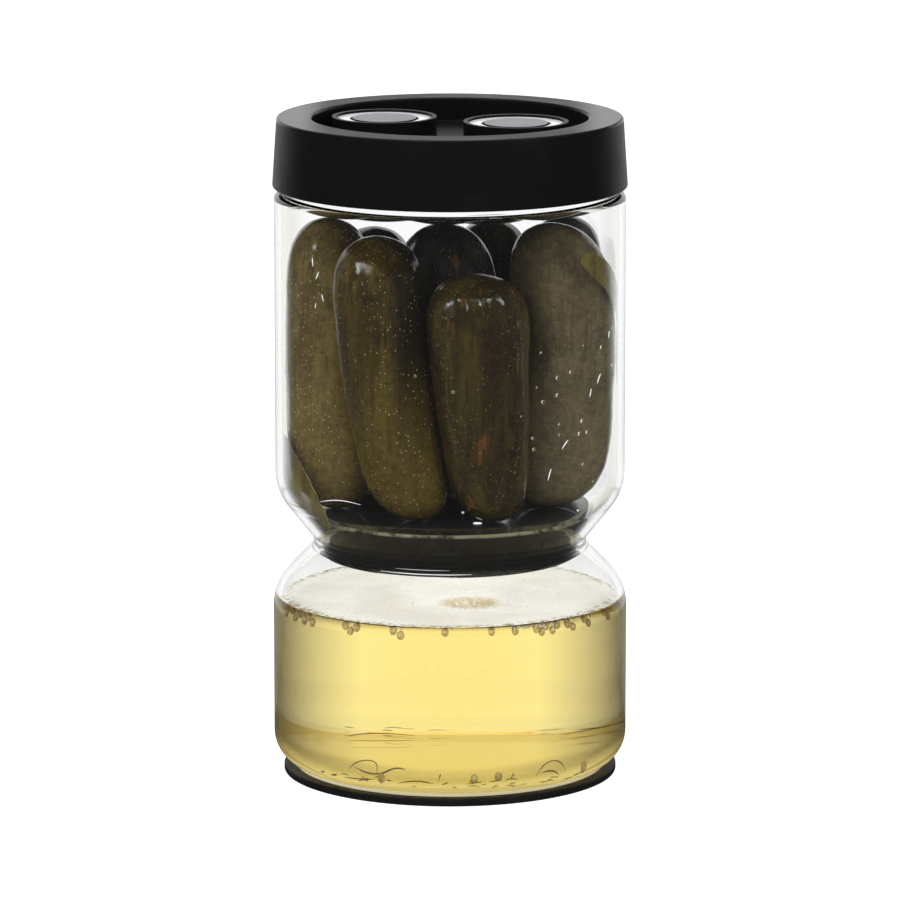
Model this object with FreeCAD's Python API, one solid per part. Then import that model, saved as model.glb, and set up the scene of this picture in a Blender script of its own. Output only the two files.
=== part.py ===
import FreeCAD, Part

import math
import os

from FreeCAD import Vector

# Hourglass pickle jar with a strainer plug in its waist, in millimetres.
# Z is up, the jar stands on its pad at Z = 0 and its front faces -Y.

# ---- jar glass ----
UPPER_R = 49.4          # outside of the upper chamber
LOWER_R = 50.0          # outside of the lower chamber
WALL = 2.0              # glass thickness of the side walls
BASE_T = 3.4            # glass thickness of the bottom
BOTTOM_ROUND = 9.6      # outer rounding at the bottom edge
WAIST_R = 38.6          # outside of the waist where it is narrowest
WAIST_Z = 66.5          # height of the waist
WAIST_ROUND = 3.0       # outer rounding of the waist
LOWER_SLOPE = 1.04      # fall of the lower shoulder's cone for each mm of radius
UPPER_SLOPE = 1.26      # rise of the upper shoulder's cone for each mm of radius
SHOULDER_ROUND = 14.6   # outer rounding of both shoulders
NECK_FOOT_Z = 165.4     # top of the upper wall, under the lid
NECK_FOOT_ROUND = 1.4
NECK_FOOT_T = 1.3       # glass thickness of the step under the neck
NECK_STEP = 3.0         # how far the neck stands in from the upper wall
NECK_WALL = 2.2

# ---- pad under the jar ----
PAD_INSET = 2.8         # how far the pad's edge lies inside the lower wall
PAD_T = 2.1
PAD_EDGE = 0.5
PAD_GAP = 0.05          # clearance between pad and glass

# ---- lid ----
LID_LIFT = 2.0          # gap between the upper wall's top and the lid
LID_H = 19.6
LID_PLAY = 0.6          # clearance between neck and lid skirt
LID_WALL = 1.6
LID_FLARE = 1.3         # the lid's foot is this much wider than its top
LID_TOP_T = 2.1
LID_EDGE = 0.7          # rounding of the top outer edge
LID_FOOT_EDGE = 0.7     # rounding of the bottom outer edge
PLUG_PLAY = 3.7         # clearance between the neck's bore and the recess wall
RECESS_WALL = 1.8
RECESS_DEPTH = 6.8
RECESS_FLOOR_T = 2.4
RECESS_EDGE = 0.8

# ---- two dials in the lid's recess ----
DIAL_SHARE = 0.38       # dial radius as a share of the recess radius
DIAL_PLACE = 0.4935     # distance of its centre from the lid's, as a share of the same
DIAL_TURN = -15.4       # turn of the pair about Z, in degrees
DIAL_SINK = 0.6         # dial top below the lid rim
DIAL_WALL = 1.2
DIAL_LIP = 0.7          # height of the thin lip around the face
FACE_T = 1.4
FACE_GAP = 0.1          # clearance between a face and the wall around it
FACE_SEAT = 0.02        # clearance between a face and its floor
GROOVE_SHARE = 0.633    # groove radius as a share of the dial radius
GROOVE_W = 0.7
GROOVE_DEPTH = 0.5
KNOB_RISE = 0.25        # centre disc above the ring around it

# ---- seal ring in the lid ----
SEAL_T = 1.9
SEAL_IN = 1.6           # how far the seal reaches in from the neck's bore
SEAL_BACK = 0.2         # how far it stays back from the neck's outside
SEAL_GAP = 0.05         # clearance above and below the seal

# ---- strainer plug ----
PLATE_OVER = 3.2        # how far the plate reaches past the waist's bore
PLATE_EDGE_T = 3.3      # height of the plate's edge above its seat
PLATE_T = 2.2
SEAT_GAP = 0.25         # clearance between plug and glass
SKIRT_T = 1.8
SKIRT_DROP = 4.5        # skirt's foot below the waist
SKIRT_RIB = 0.9         # how far the sealing ribs stand out
RIB_HEIGHT = 1.5
RIB_DROPS = (3.3, 0.6)  # ribs' middles below the waist
HOLE_D = 3.0
HOLE_RINGS = ((0.0, 1), (0.27, 6), (0.52, 12), (0.77, 18))

# ---- brine ----
BRINE_DROP = 15.5       # level of the brine below the waist
BRINE_GAP = 0.15

# ---- gherkins ----
# Places (x, y) of the foot, the middle and the tip, then the length, the half
# widths of a section, its turn in degrees and how much fuller the tip is than
# the foot. They are for a jar with a bore of PACK_R, a glass inside of
# PACK_FOOT_R at the plate and a chamber of PACK_H, and grow with it.
PACK_R = 47.4
PACK_FOOT_R = 42.74
PACK_H = 89.2
GHERKIN_FOOT = 0.1      # clearance between gherkin and plate
GHERKINS = (
    ("gherkin_1", (-32.2, -7.6), (-34.0, -4.8), (-34.2, -1.4), 82.4, 12.5, 12.4, 0.0, 0.0),
    ("gherkin_2", (-9.3, -24.5), (-17.2, -25.8), (-20.2, -22.2), 80.4, 12.8, 12.5, 0.0, 0.12),
    ("gherkin_3", (12.0, -26.0), (8.6, -33.6), (6.8, -29.5), 71.0, 13.0, 12.0, 0.0, 0.36),
    ("gherkin_4", (27.6, -6.0), (31.1, -9.3), (28.0, -12.5), 82.6, 14.5, 12.2, 0.0, 0.0),
    ("gherkin_5", (27.5, 17.5), (30.0, 15.8), (32.7, 12.6), 80.8, 13.0, 12.1, 35.0, 0.0),
    ("gherkin_6", (3.0, 27.5), (5.4, 31.8), (12.5, 29.5), 77.0, 12.8, 12.4, 0.0, 0.0),
    ("gherkin_7", (-22.5, 18.0), (-22.8, 22.6), (-21.7, 22.0), 76.2, 12.8, 12.4, -35.0, 0.0),
    ("gherkin_8", (1.0, 0.5), (-0.5, 0.8), (-2.0, 0.5), 80.4, 14.4, 13.8, 0.0, 0.0),
)

# ---- sizes that follow from the ones above ----
BORE_R = UPPER_R - WALL
NECK_R = UPPER_R - NECK_STEP
NECK_BORE_R = NECK_R - NECK_WALL
GLASS_FOOT = PAD_T + PAD_GAP
PAD_R = LOWER_R - PAD_INSET
LID_BOTTOM_Z = NECK_FOOT_Z + LID_LIFT
TOTAL_Z = LID_BOTTOM_Z + LID_H
MOUTH_Z = TOTAL_Z - LID_TOP_T - SEAL_T - 2 * SEAL_GAP
LID_TOP_R = NECK_R + LID_PLAY + LID_WALL
LID_BOTTOM_R = LID_TOP_R + LID_FLARE
RECESS_R = NECK_BORE_R - PLUG_PLAY - RECESS_WALL
RECESS_Z = TOTAL_Z - RECESS_DEPTH
DIAL_R = DIAL_SHARE * RECESS_R
DIAL_TOP = TOTAL_Z - DIAL_SINK
FACE_Z = DIAL_TOP - DIAL_LIP
GROOVE_R = GROOVE_SHARE * DIAL_R
PLATE_R = WAIST_R - WALL + PLATE_OVER
BRINE_Z = WAIST_Z - BRINE_DROP

os.makedirs("parts", exist_ok=True)


def point(r, z):
    return Vector(r, 0, z)


def corner(before, at, after, radius):
    """Tangent points and middle of the arc that rounds one corner of a profile."""
    u = (before - at).normalize()
    v = (after - at).normalize()
    half = math.acos(max(-1.0, min(1.0, u.dot(v)))) / 2
    reach = radius / math.tan(half)
    centre = at + (u + v).normalize() * (radius / math.sin(half))
    middle = centre + (at - centre).normalize() * radius
    return at + u * reach, middle, at + v * reach


def profile(points):
    """Closed wire through (r, z, radius) corners, each rounded by its radius."""
    spots = [point(r, z) for r, z, _ in points]
    count = len(points)
    runs = []
    for i, (r, z, radius) in enumerate(points):
        if radius > 0:
            runs.append(corner(spots[i - 1], spots[i], spots[(i + 1) % count], radius))
        else:
            runs.append((spots[i],))
    edges = []
    for i, run in enumerate(runs):
        if len(run) == 3:
            edges.append(Part.Arc(run[0], run[1], run[2]).toShape())
        start = run[-1]
        end = runs[(i + 1) % count][0]
        if start.distanceToPoint(end) > 1e-6:
            edges.append(Part.makeLine(start, end))
    return Part.Wire(edges)


def turned(points):
    """Solid of revolution about Z of a rounded profile."""
    face = Part.Face(profile(points))
    solid = face.revolve(Vector(0, 0, 0), Vector(0, 0, 1), 360)
    if solid.Volume < 0:
        solid.reverse()
    return solid


def disc(radius, low, high, x=0.0, y=0.0):
    return Part.makeCylinder(radius, high - low, Vector(x, y, low))


def save(name, shape):
    shape.exportStep("parts/" + name + ".step")


# The two shoulder cones meet in a sharp corner inside the rounded waist.
WAIST_TURN = (math.atan(1 / UPPER_SLOPE) + math.atan(1 / LOWER_SLOPE)) / 2
CORNER_R = WAIST_R - WAIST_ROUND * (1 / math.cos(WAIST_TURN) - 1)


def upper_cone(r, inward=0.0):
    """Height of the upper shoulder's cone, moved inwards by a distance."""
    return WAIST_Z + (r - CORNER_R) * UPPER_SLOPE + inward * math.hypot(1, UPPER_SLOPE)


def lower_cone(r, inward=0.0):
    """Height of the lower shoulder's cone, moved inwards by a distance."""
    return WAIST_Z - (r - CORNER_R) * LOWER_SLOPE - inward * math.hypot(1, LOWER_SLOPE)


def glass_outside():
    return (
        (LOWER_R, GLASS_FOOT, BOTTOM_ROUND),
        (LOWER_R, lower_cone(LOWER_R), SHOULDER_ROUND),
        (CORNER_R, WAIST_Z, WAIST_ROUND),
        (UPPER_R, upper_cone(UPPER_R), SHOULDER_ROUND),
        (UPPER_R, NECK_FOOT_Z, NECK_FOOT_ROUND),
        (NECK_R, NECK_FOOT_Z, 0.8),
    )


def glass_inside(top):
    waist = WAIST_R - WALL
    lower = LOWER_R - WALL
    return (
        (NECK_BORE_R, top, 0),
        (NECK_BORE_R, NECK_FOOT_Z - NECK_FOOT_T, 1.0),
        (BORE_R, NECK_FOOT_Z - NECK_FOOT_T - 0.6, 1.2),
        (BORE_R, upper_cone(BORE_R, WALL), SHOULDER_ROUND - WALL),
        (waist, upper_cone(waist, WALL), WAIST_ROUND),
        (waist, lower_cone(waist, WALL), WAIST_ROUND),
        (lower, lower_cone(lower, WALL), SHOULDER_ROUND - WALL),
        (lower, GLASS_FOOT + BASE_T, BOTTOM_ROUND - WALL),
    )


def make_glass():
    rim = (NECK_R - NECK_BORE_R) * 0.45
    outside = list(glass_outside())
    inside = list(glass_inside(MOUTH_Z))
    inside[0] = (NECK_BORE_R, MOUTH_Z, rim)
    points = [(0, GLASS_FOOT, 0)] + outside + [(NECK_R, MOUTH_Z, rim)] + inside
    points.append((0, GLASS_FOOT + BASE_T, 0))
    return turned(points)


def chamber(low, high, gap):
    """Solid of the jar's inside between two levels, smaller than it by a gap."""
    inside = [(r - gap, z, c) for r, z, c in glass_inside(MOUTH_Z)]
    last_r, last_z, last_c = inside[-1]
    inside[-1] = (last_r, last_z + gap, last_c)
    points = inside + [(0, last_z + gap, 0), (0, MOUTH_Z, 0)]
    whole = turned(points)
    return whole.common(disc(2 * UPPER_R, low, high))


def make_pad():
    return turned(((0, 0, 0), (PAD_R, 0, PAD_EDGE), (PAD_R, PAD_T, PAD_EDGE), (0, PAD_T, 0)))


def dial_spots():
    turn = math.radians(DIAL_TURN)
    x = DIAL_PLACE * RECESS_R * math.cos(turn)
    y = DIAL_PLACE * RECESS_R * math.sin(turn)
    return (("dial_left", -x, -y), ("dial_right", x, y))


def make_lid():
    under_z = TOTAL_Z - LID_TOP_T
    under_r = LID_TOP_R - LID_WALL
    plug_r = RECESS_R + RECESS_WALL
    floor_z = RECESS_Z - RECESS_FLOOR_T
    lid = turned((
        (0, RECESS_Z, 0),
        (RECESS_R, RECESS_Z, 0.6),
        (RECESS_R, TOTAL_Z, RECESS_EDGE),
        (LID_TOP_R, TOTAL_Z, LID_EDGE),
        (LID_BOTTOM_R, LID_BOTTOM_Z, LID_FOOT_EDGE),
        (LID_BOTTOM_R - LID_WALL, LID_BOTTOM_Z, 0.4),
        (under_r, under_z, 0.6),
        (plug_r, under_z, 0.6),
        (plug_r, floor_z, 0.8),
        (0, floor_z, 0),
    ))
    for _, x, y in dial_spots():
        lid = lid.fuse(disc(DIAL_R, RECESS_Z - 0.5, DIAL_TOP, x, y))
    for _, x, y in dial_spots():
        lid = lid.cut(disc(DIAL_R - DIAL_WALL, FACE_Z - FACE_T, TOTAL_Z, x, y))
    return lid.removeSplitter()


def make_dial(x, y):
    radius = DIAL_R - DIAL_WALL - FACE_GAP
    low = FACE_Z - FACE_T + FACE_SEAT
    face = disc(radius, low, FACE_Z, x, y)
    face = face.fuse(disc(GROOVE_R - GROOVE_W / 2, low, FACE_Z + KNOB_RISE, x, y))
    groove = disc(GROOVE_R + GROOVE_W / 2, FACE_Z - GROOVE_DEPTH, TOTAL_Z, x, y)
    groove = groove.cut(disc(GROOVE_R - GROOVE_W / 2, low, TOTAL_Z, x, y))
    return face.cut(groove).removeSplitter()


def make_seal():
    low = MOUTH_Z + SEAL_GAP
    high = low + SEAL_T
    inner = NECK_BORE_R - SEAL_IN
    outer = NECK_R - SEAL_BACK
    return turned(((inner, low, 0.4), (outer, low, 0.4), (outer, high, 0.4), (inner, high, 0.4)))


def seat_z(r):
    """Height at which the plug's underside clears the glass cone."""
    return upper_cone(r, WALL + SEAT_GAP)


PLATE_Z = seat_z(PLATE_R) + PLATE_EDGE_T


def make_strainer():
    rib_r = WAIST_R - WALL - SEAT_GAP
    skirt_r = rib_r - SKIRT_RIB
    bore_r = skirt_r - SKIRT_T
    plate_low = PLATE_Z - PLATE_T
    foot_z = WAIST_Z - SKIRT_DROP
    plug = turned((
        (0, PLATE_Z, 0),
        (PLATE_R, PLATE_Z, 0.6),
        (PLATE_R, seat_z(PLATE_R), 0.4),
        (skirt_r, seat_z(skirt_r), 0),
        (skirt_r, foot_z, 0.5),
        (bore_r, foot_z, 0.4),
        (bore_r, plate_low, 1.2),
        (0, plate_low, 0),
    ))
    for drop in RIB_DROPS:
        level = WAIST_Z - drop
        half = RIB_HEIGHT / 2
        rib = turned((
            (bore_r + 0.5, level - half, 0),
            (skirt_r, level - half, 0),
            (rib_r, level - half * 0.3, 0.3),
            (rib_r, level + half * 0.3, 0.3),
            (skirt_r, level + half, 0),
            (bore_r + 0.5, level + half, 0),
        ))
        plug = plug.fuse(rib)
    holes = []
    for share, count in HOLE_RINGS:
        for k in range(count):
            angle = 2 * math.pi * (k + 0.5) / count
            x = share * bore_r * math.cos(angle)
            y = share * bore_r * math.sin(angle)
            holes.append(disc(HOLE_D / 2, plate_low - 1, PLATE_Z + 1, x, y))
    return plug.cut(Part.makeCompound(holes)).removeSplitter()


def make_brine():
    return chamber(0, BRINE_Z, BRINE_GAP)


# Share of the full half width at each share of a gherkin's length.
GHERKIN_SHAPE = (
    (0.000, 0.10),
    (0.010, 0.35),
    (0.035, 0.61),
    (0.080, 0.82),
    (0.150, 0.95),
    (0.290, 0.995),
    (0.500, 1.0),
    (0.710, 0.995),
    (0.850, 0.95),
    (0.920, 0.82),
    (0.965, 0.61),
    (0.990, 0.35),
    (1.000, 0.10),
)


def section(centre, across, deep, turn, thickness):
    """Closed smooth curve of one level of a gherkin, nearly an ellipse."""
    spots = []
    for k in range(12):
        angle = 2 * math.pi * k / 12
        swell = 1 + 0.018 * math.cos(3 * angle + turn)
        x = across * thickness * swell * math.cos(angle)
        y = deep * thickness * swell * math.sin(angle)
        c = math.cos(math.radians(turn))
        s = math.sin(math.radians(turn))
        spots.append(Vector(centre.x + x * c - y * s, centre.y + x * s + y * c, centre.z))
    curve = Part.BSplineCurve()
    curve.interpolate(Points=spots, PeriodicFlag=True)
    return Part.Wire([curve.toShape()])


def room(z, bore, foot):
    """Radius of the chamber at a height, from its bore and its radius at the plate."""
    return min(bore, foot + (z - PLATE_Z) / UPPER_SLOPE)


def make_gherkin(foot, middle, top, length, across, deep, turn, fuller):
    low = PLATE_Z + GHERKIN_FOOT
    plate_room = CORNER_R + (PLATE_Z - upper_cone(CORNER_R, WALL)) / UPPER_SLOPE
    length = length * (NECK_FOOT_Z - PLATE_Z) / PACK_H

    def spread(share):
        z = low + share * length
        return room(z, BORE_R, plate_room) / room(z, PACK_R, PACK_FOOT_R)

    def axis(share):
        a = (1 - share) * (1 - share)
        b = 2 * share * (1 - share)
        c = share * share
        # The curve passes through the middle spot at half its length.
        mx = 2 * middle[0] - (foot[0] + top[0]) / 2
        my = 2 * middle[1] - (foot[1] + top[1]) / 2
        x = a * foot[0] + b * mx + c * top[0]
        y = a * foot[1] + b * my + c * top[1]
        return Vector(x * spread(share), y * spread(share), low + share * length)

    rings = []
    for share, thickness in GHERKIN_SHAPE:
        girth = thickness * spread(share) * (1 + fuller * (share - 0.5))
        rings.append(section(axis(share), across, deep, turn, girth))
    return Part.makeLoft(rings, True, False)


save("glass_jar", make_glass())
save("base_pad", make_pad())
save("lid_cap", make_lid())
save("lid_seal", make_seal())
for name, x, y in dial_spots():
    save(name, make_dial(x, y))
save("strainer", make_strainer())
save("brine", make_brine())
for name, foot, middle, top, length, across, deep, turn, fuller in GHERKINS:
    save(name, make_gherkin(foot, middle, top, length, across, deep, turn, fuller))
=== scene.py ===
import math
import random
from collections import namedtuple

import bmesh
import bpy
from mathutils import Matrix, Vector, noise
from mathutils.bvhtree import BVHTree


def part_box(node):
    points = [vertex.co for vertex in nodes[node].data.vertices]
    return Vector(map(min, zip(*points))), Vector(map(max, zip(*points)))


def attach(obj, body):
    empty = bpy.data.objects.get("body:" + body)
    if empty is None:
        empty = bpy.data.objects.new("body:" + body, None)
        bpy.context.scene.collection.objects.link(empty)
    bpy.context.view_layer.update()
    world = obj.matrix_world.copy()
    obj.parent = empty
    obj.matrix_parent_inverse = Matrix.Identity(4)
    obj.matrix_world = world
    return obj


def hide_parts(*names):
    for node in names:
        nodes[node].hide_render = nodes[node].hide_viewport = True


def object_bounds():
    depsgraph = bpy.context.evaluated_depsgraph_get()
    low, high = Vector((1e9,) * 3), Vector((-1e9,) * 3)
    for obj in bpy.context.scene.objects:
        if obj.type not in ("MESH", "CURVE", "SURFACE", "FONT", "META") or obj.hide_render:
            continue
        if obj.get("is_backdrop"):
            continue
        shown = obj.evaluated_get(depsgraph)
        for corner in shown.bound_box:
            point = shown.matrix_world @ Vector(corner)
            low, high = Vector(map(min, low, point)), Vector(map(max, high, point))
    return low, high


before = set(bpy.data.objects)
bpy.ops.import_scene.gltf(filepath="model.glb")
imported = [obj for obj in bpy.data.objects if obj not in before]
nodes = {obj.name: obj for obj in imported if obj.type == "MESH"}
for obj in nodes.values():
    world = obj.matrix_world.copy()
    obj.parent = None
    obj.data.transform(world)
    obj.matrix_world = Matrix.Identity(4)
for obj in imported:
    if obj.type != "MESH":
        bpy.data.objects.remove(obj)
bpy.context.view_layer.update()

# An hourglass pickle jar: a clear glass jar with a waist, gherkins standing on
# a black strainer over yellow brine, a black screw lid with two dials, and a
# black pad underneath. Metres, Z up, front towards -Y.

MM = 0.001
scene = bpy.context.scene


# ---------------------------------------------------------------- node tools
LEVEL = (1.0, 1.0, 0.0)  # a stretch that leaves a place's height out


def new_material(name):
    mat = bpy.data.materials.new(name)
    mat.use_nodes = True
    mat.node_tree.nodes.clear()
    return mat, mat.node_tree


def shader_of(mat):
    return next(n for n in mat.node_tree.nodes if n.bl_idname == "ShaderNodeBsdfPrincipled")


def feed(socket, value):
    """A socket takes another node's output, or a value or colour."""
    if isinstance(value, Value):
        value = value.socket
    if isinstance(value, bpy.types.NodeSocket):
        socket.id_data.links.new(value, socket)
        return
    if isinstance(value, tuple) and len(value) == 3 and len(socket.default_value) == 4:
        value = value + (1.0,)
    socket.default_value = value


def add(tree, kind, *given, **settings):
    """A new node. What is given goes into its first inputs, settings whose
    names start with a capital into the inputs of those names."""
    node = tree.nodes.new("ShaderNode" + kind)
    for key, value in settings.items():
        if not key[0].isupper():
            setattr(node, key, value)
    for socket, value in zip(node.inputs, given):
        feed(socket, value)
    for key, value in settings.items():
        if key[0].isupper():
            feed(node.inputs[key.replace("_", " ")], value)
    return node


class Value:
    """A node's output; what is done with it makes further nodes."""

    def __init__(self, socket):
        self.socket = socket
        self.tree = socket.id_data

    def node(self, kind, *given, **settings):
        return add(self.tree, kind, self, *given, **settings)

    def maths(self, operation, other=0.0):
        return Value(self.node("Math", other, operation=operation).outputs[0])

    def __mul__(self, other):
        return self.maths("MULTIPLY", other)

    def __add__(self, other):
        return self.maths("ADD", other)

    def __sub__(self, other):
        return self.maths("SUBTRACT", other)

    def __rsub__(self, other):
        return Value(add(self.tree, "Math", other, self, operation="SUBTRACT").outputs[0])

    def __abs__(self):
        return self.maths("ABSOLUTE")

    def larger(self, other):
        return self.maths("MAXIMUM", other)

    def over(self, limit):
        """1 above the limit, 0 below it."""
        return self.maths("GREATER_THAN", limit)

    def under(self, limit):
        return self.maths("LESS_THAN", limit)

    def between(self, low, high, to_low=0.0, to_high=1.0, kind="SMOOTHSTEP"):
        node = self.node(
            "MapRange", interpolation_type=kind, From_Min=low, From_Max=high,
            To_Min=to_low, To_Max=to_high)
        return Value(node.outputs["Result"])

    def blend(self, a, b, kind="FLOAT"):
        """From a to b as this value goes from 0 to 1."""
        node = add(self.tree, "Mix", data_type=kind, Factor=self, A=a, B=b)
        return Value(node.outputs["Result"])

    def colour(self, a, b):
        return self.blend(a, b, "RGBA")

    def scaled(self, level):
        node = self.node("VectorMath", operation="SCALE", Scale=level)
        return Value(node.outputs[0])

    def bump(self, strength, distance):
        node = add(self.tree, "Bump", Strength=strength, Distance=distance, Height=self)
        return Value(node.outputs["Normal"])

    # the rest is for places
    def axes(self):
        return [Value(out) for out in self.node("SeparateXYZ").outputs]

    def stretched(self, *scale):
        node = self.node("Mapping", Scale=scale)
        return Value(node.outputs["Vector"])

    def noise(self, scale, detail=3.0, rough=0.5):
        node = self.node("TexNoise", Scale=scale, Detail=detail, Roughness=rough)
        return Value(node.outputs["Fac"])

    def cells(self, scale):
        """The distance to the nearest of scattered points."""
        return Value(self.node("TexVoronoi", Scale=scale).outputs["Distance"])

    def length(self):
        return Value(self.node("VectorMath", operation="LENGTH").outputs["Value"])

    def distance(self, spot):
        return Value(self.node("VectorMath", spot, operation="DISTANCE").outputs["Value"])


def object_place(tree):
    return Value(add(tree, "TexCoord").outputs["Object"])


def facing(tree):
    """How much a surface turns away from the eye."""
    return Value(add(tree, "LayerWeight", Blend=0.5).outputs["Facing"])


def outputs_of(node):
    return {out.name: Value(out) for out in node.outputs}


def light_path(tree):
    """The kinds and depths of rays by their names."""
    return outputs_of(add(tree, "LightPath"))


def principled(tree, **values):
    shader = add(tree, "BsdfPrincipled", **values)
    return shader, add(tree, "OutputMaterial", Surface=shader.outputs[0])


def new_group(name, inputs, outputs):
    """A node group; inputs and outputs give each socket's label, kind and value."""
    group = bpy.data.node_groups.new(name, "ShaderNodeTree")
    for label, kind, default in inputs:
        socket = group.interface.new_socket(
            label, in_out="INPUT", socket_type="NodeSocket" + kind)
        if default is not None:
            socket.default_value = default
    for label, kind in outputs:
        group.interface.new_socket(label, in_out="OUTPUT", socket_type="NodeSocket" + kind)
    given = outputs_of(group.nodes.new("NodeGroupInput"))
    return group, given, group.nodes.new("NodeGroupOutput")


def use_group(tree, group, **values):
    return outputs_of(add(tree, "Group", node_tree=group, **values))


# ------------------------------------------------------------- shared effects
def make_fine_grain():
    """Moulded plastic's fine grain: an uneven roughness, a height and wear."""
    group, given, out = new_group(
        "fine_grain",
        (
            ("Grain Scale", "Float", 2500.0),
            ("Rough Low", "Float", 0.35),
            ("Rough High", "Float", 0.5),
        ),
        (("Roughness", "Float"), ("Height", "Float"), ("Wear", "Float")),
    )
    place = object_place(group)
    broad = place.noise(60.0, 4.0, 0.6)
    rough = broad.between(0.3, 0.7, given["Rough Low"], given["Rough High"], "LINEAR")
    feed(out.inputs["Roughness"], rough)
    feed(out.inputs["Height"], place.noise(given["Grain Scale"], 2.0))
    feed(out.inputs["Wear"], broad.between(0.55, 0.8))
    return group


def make_gherkin_skin():
    """Colour, roughness and height of a brined gherkin's skin, with painted shade on one flank,
    painted light on the foot and partly painted glints on its pale dots.
    """
    group, given, out = new_group(
        "gherkin_skin",
        (
            ("Base", "Color", (0.06, 0.045, 0.016, 1)),
            ("Streak", "Color", (0.10, 0.08, 0.03, 1)),
            ("Dark", "Color", (0.02, 0.014, 0.006, 1)),
            ("Rust", "Color", (0.125, 0.050, 0.012, 1)),
            ("Rust Share", "Float", 0.2),
            ("Speck Share", "Float", 0.5),
            ("Shift", "Vector", None),
            ("Flank X", "Float", 0.0),
            ("Flank Share", "Float", 0.5),
            ("Foot Share", "Float", 0.0),
        ),
        (("Colour", "Color"), ("Roughness", "Float"), ("Height", "Float")),
    )
    still = object_place(group)
    place = Value(still.node("VectorMath", given["Shift"], operation="ADD").outputs[0])
    x, _, z = still.axes()
    dark = given["Dark"]

    # broad bands, fine lengthwise lines and clouds
    bands = place.stretched(1.0, 1.0, 0.10).noise(210.0, 3.0, 0.6)
    lines = place.stretched(1.0, 1.0, 0.035).noise(950.0, 2.0, 0.6)
    cloud = place.noise(75.0, 4.0, 0.6)
    mottle = place.noise(520.0, 4.0, 0.65)
    colour = bands.between(0.42, 0.64).colour(given["Base"], given["Streak"])
    colour = cloud.between(0.50, 0.32, 0.0, 0.6).colour(colour, dark)
    colour = (lines.between(0.52, 0.70) * 0.5).colour(colour, dark)

    # painted shade on one flank, most of all towards the tip, and painted light that makes the foot
    # paler
    off = abs(x - given["Flank X"])
    shade = off.between(0.0095, 0.001) * z.between(0.085, 0.135, 0.35, 1.0)
    colour = (shade * given["Flank Share"]).colour(colour, dark)
    low_down = z.between(0.130, 0.090) * given["Foot Share"]
    colour = low_down.colour(colour, given["Streak"])

    # rusty streaks, then a mottle over everything so far
    rust = place.stretched(1.0, 1.0, 0.10).noise(330.0, 2.0)
    colour = (rust.between(0.62, 0.72) * given["Rust Share"]).colour(colour, given["Rust"])
    colour = colour.scaled(mottle.between(0.3, 0.7, 0.80, 1.22))

    # dark pores everywhere and pale raised dots in trails, their paleness partly painted glints of
    # wet bumps
    pore = place.cells(430.0).between(0.20, 0.08) * 0.55
    colour = pore.colour(colour, dark)
    dots = place.stretched(1.0, 1.0, 0.75).cells(1000.0).between(0.22, 0.10)
    trail = place.stretched(1.0, 1.0, 0.3).noise(130.0, 2.0).between(0.39, 0.50)
    picked = place.noise(900.0, 1.0).between(0.36, 0.48)
    dots = dots * (trail * given["Speck Share"]) * picked
    colour = dots.colour(colour, (0.50, 0.44, 0.26, 1))

    height = bands * 0.5 + mottle * 0.22 + dots * 0.3 + place.noise(1500.0, 2.0) * 0.12
    feed(out.inputs["Colour"], colour)
    feed(out.inputs["Roughness"], mottle.between(0.3, 0.75, 0.10, 0.26))
    feed(out.inputs["Height"], height - pore * 0.25)
    return group


def make_glass_unevenness():
    """Uneven thickness of blown glass, as a mask and a height."""
    group, given, out = new_group(
        "glass_unevenness",
        (("Scale", "Float", 22.0),),
        (("Mask", "Float"), ("Height", "Float")),
    )
    wave = object_place(group).stretched(1.0, 1.0, 0.5).noise(given["Scale"], 1.0, 0.3)
    feed(out.inputs["Mask"], wave.between(0.35, 0.65))
    feed(out.inputs["Height"], wave)
    return group


fine_grain = make_fine_grain()
gherkin_skin = make_gherkin_skin()
glass_unevenness = make_glass_unevenness()


# ------------------------------------------------------------------ materials
GLASS_IOR = 1.5
BRINE_IOR = 1.34
BRINE_YELLOW = (1.0, 0.848, 0.008)
BRINE_DENSITY = 14.5
CAUGHT_MIRRORED = 1.5  # inner mirrorings after which light counts as caught
CAUGHT_PASSED = 2.5  # and surfaces passed by then
# colours of the painted glow that stands for caught light
CAUGHT_PALE = (0.74, 0.67, 0.36)
CAUGHT_YELLOW = (0.72, 0.58, 0.20)


def satin_rays(rays):
    """1 for what a satin surface sends on, 0 for what is mirrored or passes."""
    satin = rays["Is Glossy Ray"] - rays["Is Singular Ray"]
    return (satin - rays["Is Transmission Ray"]).larger(0.0)


def let_light_through(mat, shader, out, tint):
    """Lamps and bounced light pass straight through, tinted, and where light is caught in the thick
    edges a painted glow comes out pale, or yellow near the foot."""
    tree = mat.node_tree
    rays = light_path(tree)
    clear = add(tree, "BsdfTransparent", Color=tint)
    share = rays["Is Shadow Ray"].larger(rays["Is Diffuse Ray"]).larger(satin_rays(rays))
    # a painted glow for light caught in the thick edges, yellower near the foot
    caught = rays["Glossy Depth"].over(CAUGHT_MIRRORED)
    caught = caught * rays["Transmission Depth"].over(CAUGHT_PASSED)
    low_down = object_place(tree).axes()[2].between(0.020, 0.008)
    glow = add(tree, "Emission", Color=low_down.colour(CAUGHT_PALE, CAUGHT_YELLOW))
    inner = add(tree, "MixShader", caught, shader.outputs[0], glow.outputs[0])
    whole = add(tree, "MixShader", share, inner.outputs[0], clear.outputs[0])
    feed(out.inputs["Surface"], whole.outputs[0])
    mat.cycles.emission_sampling = "NONE"
    return mat


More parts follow.
